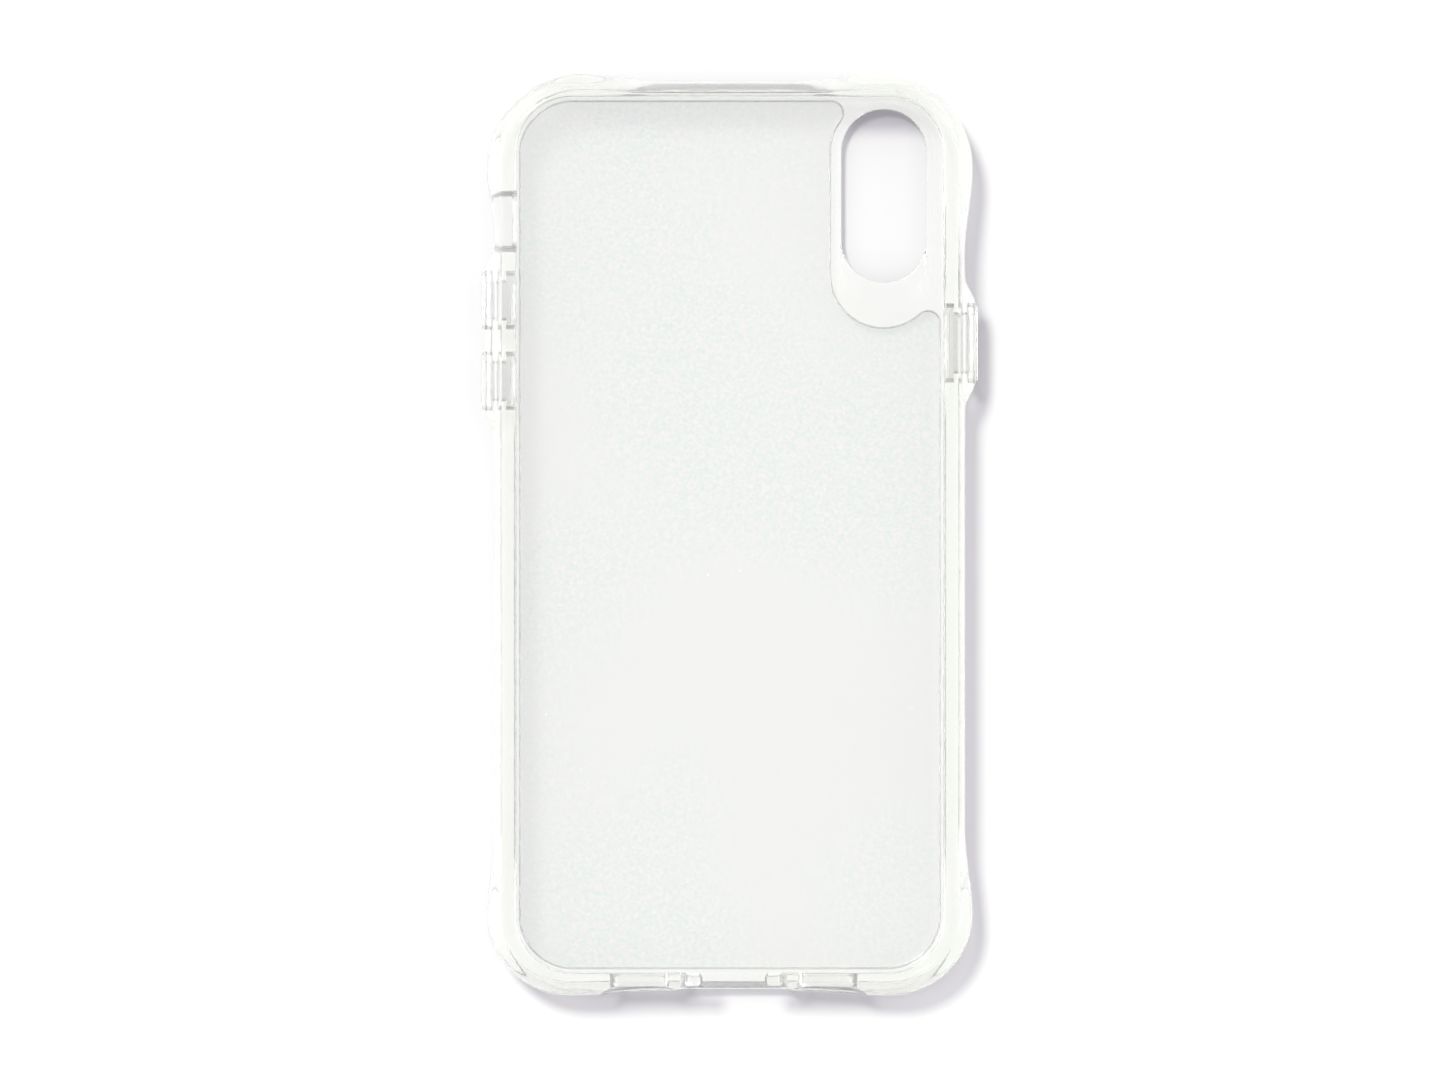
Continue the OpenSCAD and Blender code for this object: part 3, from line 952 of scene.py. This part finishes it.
# %% The section of a button
def button_section(face_x, half_h):
    """Rings from the flange's back to the face: (place, inset in length, inset in height)."""
    flange_x = relief_x - running_gap / 2
    stem_inset_h = half_h - stem_h / 2
    rings = [(flange_x - flange_t, half_h, half_h)]
    for x, inset in (
        (flange_x - flange_t, flange_inset + 0.1 * MM),
        (flange_x - flange_t + 0.1 * MM, flange_inset),
        (flange_x, flange_inset),
    ):
        rings.append((x, inset, inset))
    rings += [(x, stem_inset, stem_inset_h) for x in (flange_x, face_x - cap_t)]
    cap = [(face_x - cap_t, 0.1 * MM), (face_x - cap_t + 0.1 * MM, 0)]
    edge_r = 0.42 * MM
    edge_steps = 8
    for i in range(edge_steps + 1):
        a = pi / 2 * i / edge_steps
        cap.append((face_x - 0.08 * MM - edge_r * (1 - sin(a)), edge_r * (1 - cos(a))))
    cap += [(face_x - 0.04 * MM, 0.8 * MM), (face_x - 0.01 * MM, 1.2 * MM), (face_x, half_h)]
    return rings + [(x, inset, inset) for x, inset in cap]


# %% The three buttons
def button(name, low, high):
    """One button whose CAD box goes from low to high."""
    half_l, half_h = (high.y - low.y) / 2, (high.z - low.z) / 2
    section = button_section(max(abs(low.x), abs(high.x)), half_h)
    mesh = bpy.data.meshes.new(name)
    mesh.from_pydata(section, [], [])
    piece = bpy.data.objects.new(name, mesh)
    bpy.context.scene.collection.objects.link(piece)
    sweep = piece.modifiers.new("Section round a slot", "NODES")
    sweep.node_group = slot_sweep
    values = {
        "Half Length": half_l, "Half Height": half_h, "Side": 1.0 if high.x > 0 else -1.0,
        "Middle Y": (low.y + high.y) / 2, "Middle Z": (low.z + high.z) / 2,
        "Stations": 60, "Material": button_clear,
    }
    for item in slot_sweep.interface.items_tree:
        if item.in_out == "INPUT" and item.name in values:
            sweep[item.identifier] = values[item.name]
    evaluated(piece, name)
    bm = bmesh.new()
    bm.from_mesh(piece.data)
    bmesh.ops.recalc_face_normals(bm, faces=bm.faces)
    bm.to_mesh(piece.data)
    bm.free()
    return smooth_shaded(piece, 40)


buttons = {name: button(name.replace("_button", "_cover"), *box) for name, box in button_boxes.items()}

# %% Riding and replacing
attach(bumper, "case")
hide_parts("bumper_frame")
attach(panel, "case")
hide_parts("back_panel")
for name, piece in buttons.items():
    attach(piece, name.replace("_button", ""))
    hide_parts(name)

# %% [markdown]
# ## Floor
# The floor is a sheet of white paper, with a very faint fibre. Clear plastic gathers light on what lies
# under it, so the real floor is bright there, while the shadow outside stays dark. Tracing that
# gathering takes very long, so the paper glows a little where it is seen through the plastic.

# %% Floor
floor_reach = 2
floor_drop = -0.06 * MM
floor_corners = [
    (sx * floor_reach, sy * floor_reach, floor_drop) for sx, sy in ((-1, -1), (1, -1), (1, 1), (-1, 1))
]
floor = mesh_object("floor", floor_corners, [(0, 1, 2, 3)])
paper = bpy.data.materials.new("white paper")
paper.use_nodes = True
paper_nodes, paper_links = paper.node_tree.nodes, paper.node_tree.links
paper_shader = paper_nodes["Principled BSDF"]
paper_shader.inputs["Roughness"].default_value = 0.9
fibre = place_group(paper, tint_tree, {"Cloud Scale": 3.0, "Fleck Scale": 900.0},
                    {"Tint A": (0.91, 0.91, 0.91), "Tint B": (0.92, 0.92, 0.92)})
paper_links.new(paper_nodes.new("ShaderNodeTexCoord").outputs["Object"], fibre.inputs["Vector"])
paper_links.new(fibre.outputs["Color"], paper_shader.inputs["Base Color"])
glow = paper_nodes.new("ShaderNodeEmission")
glow.inputs["Color"].default_value = (0.985, 1, 0.975, 1)
glow.inputs["Strength"].default_value = 1.12
paper_path = paper_nodes.new("ShaderNodeLightPath")
gathered_share = 0.85
seen_through = math_node(
    paper.node_tree, "MULTIPLY", paper_path.outputs["Is Transmission Ray"], gathered_share
)
gathered = paper_nodes.new("ShaderNodeMixShader")
paper_links.new(seen_through, gathered.inputs["Fac"])
paper_links.new(paper_shader.outputs["BSDF"], gathered.inputs[1])
paper_links.new(glow.outputs["Emission"], gathered.inputs[2])
paper_links.new(gathered.outputs["Shader"], paper_nodes["Material Output"].inputs["Surface"])
floor.data.materials.append(paper)
print("floor", 2 * floor_reach, "m across")

# %% [markdown]
# ## Light and camera
# A clear case is lit mostly by what it reflects and bends towards the eye. Two long strips low at the
# sides brighten the long walls, a soft sun from the upper left throws the shadow, and the studio's
# walls are bright on the long sides and dimmer past the ends, which draws the dark lines along the
# edges. The camera looks straight down from above.

# %% Lights
def softbox(name, place, target, width, height, power):
    """A rectangular lamp that faces its target."""
    data = bpy.data.lights.new(name, "AREA")
    data.shape = "RECTANGLE"
    data.size = width
    data.size_y = height
    data.energy = power
    lamp = bpy.data.objects.new(name, data)
    lamp.location = place
    lamp.rotation_mode = "QUATERNION"
    lamp.rotation_quaternion = (Vector(target) - Vector(place)).to_track_quat("-Z", "Y")
    bpy.context.scene.collection.objects.link(lamp)
    return lamp


strip_away, strip_up = 0.5, 0.11
for name, side in (("left strip", -1), ("right strip", 1)):
    softbox(name, (side * strip_away, 0, strip_up), (0, 0, 0.01), width=0.45, height=0.14, power=1.1)

key = bpy.data.lights.new("key", "SUN")
key.energy = 2.05
key.angle = radians(13)
key.color = (1, 0.99, 0.96)
key_lamp = bpy.data.objects.new("key", key)
key_lamp.rotation_mode = "QUATERNION"
key_lamp.rotation_quaternion = Vector((0.34, -0.47, -1)).to_track_quat("-Z", "Y")
bpy.context.scene.collection.objects.link(key_lamp)

# %% The studio's walls: bright on the long sides, dimmer past the ends
world = bpy.data.worlds.new("studio")
world.use_nodes = True
walls = world.node_tree
background = walls.nodes["Background"]
background.inputs["Color"].default_value = (0.985, 0.98, 1, 1)
direction = walls.nodes.new("ShaderNodeTexCoord").outputs["Generated"]
split = walls.nodes.new("ShaderNodeSeparateXYZ")
walls.links.new(direction, split.inputs["Vector"])
sideways = math_node(walls, "ABSOLUTE", split.outputs["X"], 0)
side_glow = range_node(walls, sideways, 0.2, 0.9, 0.34, 1.02)
end_glow = range_node(walls, split.outputs["Y"], -0.9, 0.9, -0.2, 0.2)
walls.links.new(math_node(walls, "ADD", side_glow, end_glow), background.inputs["Strength"])
bpy.context.scene.world = world

# %% Camera
camera_data = bpy.data.cameras.new("camera")
camera = bpy.data.objects.new("camera", camera_data)
bpy.context.scene.collection.objects.link(camera)
bpy.context.scene.camera = camera
distance = 1.2
view_w = 0.2353
aim_z = 0.005
aim = Vector((-1.63 * MM, -0.86 * MM, aim_z))
camera.location = aim + Vector((0, 0, distance))
camera.rotation_mode = "QUATERNION"
camera.rotation_quaternion = (aim - camera.location).to_track_quat("-Z", "Y")
camera_data.sensor_width = 36
camera_data.lens = camera_data.sensor_width * (distance - aim_z) / view_w
camera_data.clip_start = 0.05
camera_data.clip_end = 20
print("camera lens", round(camera_data.lens, 1), "mm")

scene = bpy.context.scene
scene.view_settings.view_transform = "Standard"
scene.cycles.max_bounces = 20
scene.cycles.transmission_bounces = 18
scene.cycles.glossy_bounces = 12
scene.cycles.transparent_max_bounces = 24
